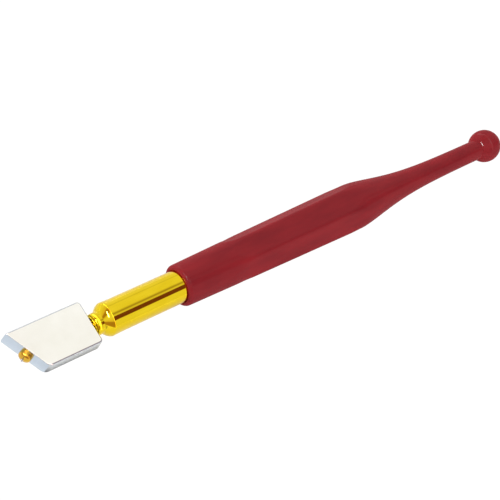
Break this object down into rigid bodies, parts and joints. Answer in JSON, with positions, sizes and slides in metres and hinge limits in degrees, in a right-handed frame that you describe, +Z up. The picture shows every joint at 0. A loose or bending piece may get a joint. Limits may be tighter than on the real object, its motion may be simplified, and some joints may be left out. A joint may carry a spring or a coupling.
{
  "type": "glass cutter",
  "caption": "Pencil-type glazier's diamond glass cutter: red hexagonal grip with ball end, brass ferrule and a flat swivelling head that holds a diamond tip.",
  "frame": {"origin": "under the middle of the tool as it lies on a table, at the height of its lowest point", "axes": "+X along the tool from the diamond towards the ball end, +Z up and square to the head's wide faces, +Y towards the head's longer edge"},
  "size_m": [0.1806, 0.0144, 0.0137],
  "materials": {
    "red_plastic": "glossy moulded red",
    "brass": "polished and lacquered",
    "bronze": "machined bearing bronze",
    "nickel": "bright nickel plate",
    "steel": "machined",
    "black_steel": "black oxide",
    "braze": "dull silver solder",
    "diamond": "clear stone"
  },
  "bodies": {
    "handle_side": {"handle": "red_plastic", "thread_insert": "brass", "tang_stud": "steel", "ferrule": "brass", "front_bush": "bronze", "rear_bush": "bronze", "stop_pin": "steel", "thrust_washer": "steel"},
    "head_side": {"head_block": "nickel", "swivel_spindle": "steel", "neck_washer": "brass", "swivel_spring": "steel", "spring_washer": "steel", "spindle_nut": "steel", "lock_nut": "steel", "spindle_set_screw": "black_steel", "holder_set_screw": "black_steel", "diamond_holder": "brass", "diamond_braze": "braze", "diamond": "diamond"}
  },
  "joints": [
    {"name": "head_swivel", "type": "hinge", "parent": "handle_side", "child": "head_side", "pos_m": [-0.0676, 0, 0.00684], "axis": [1, 0, 0], "range_deg": [-15, 15]}
  ]
}
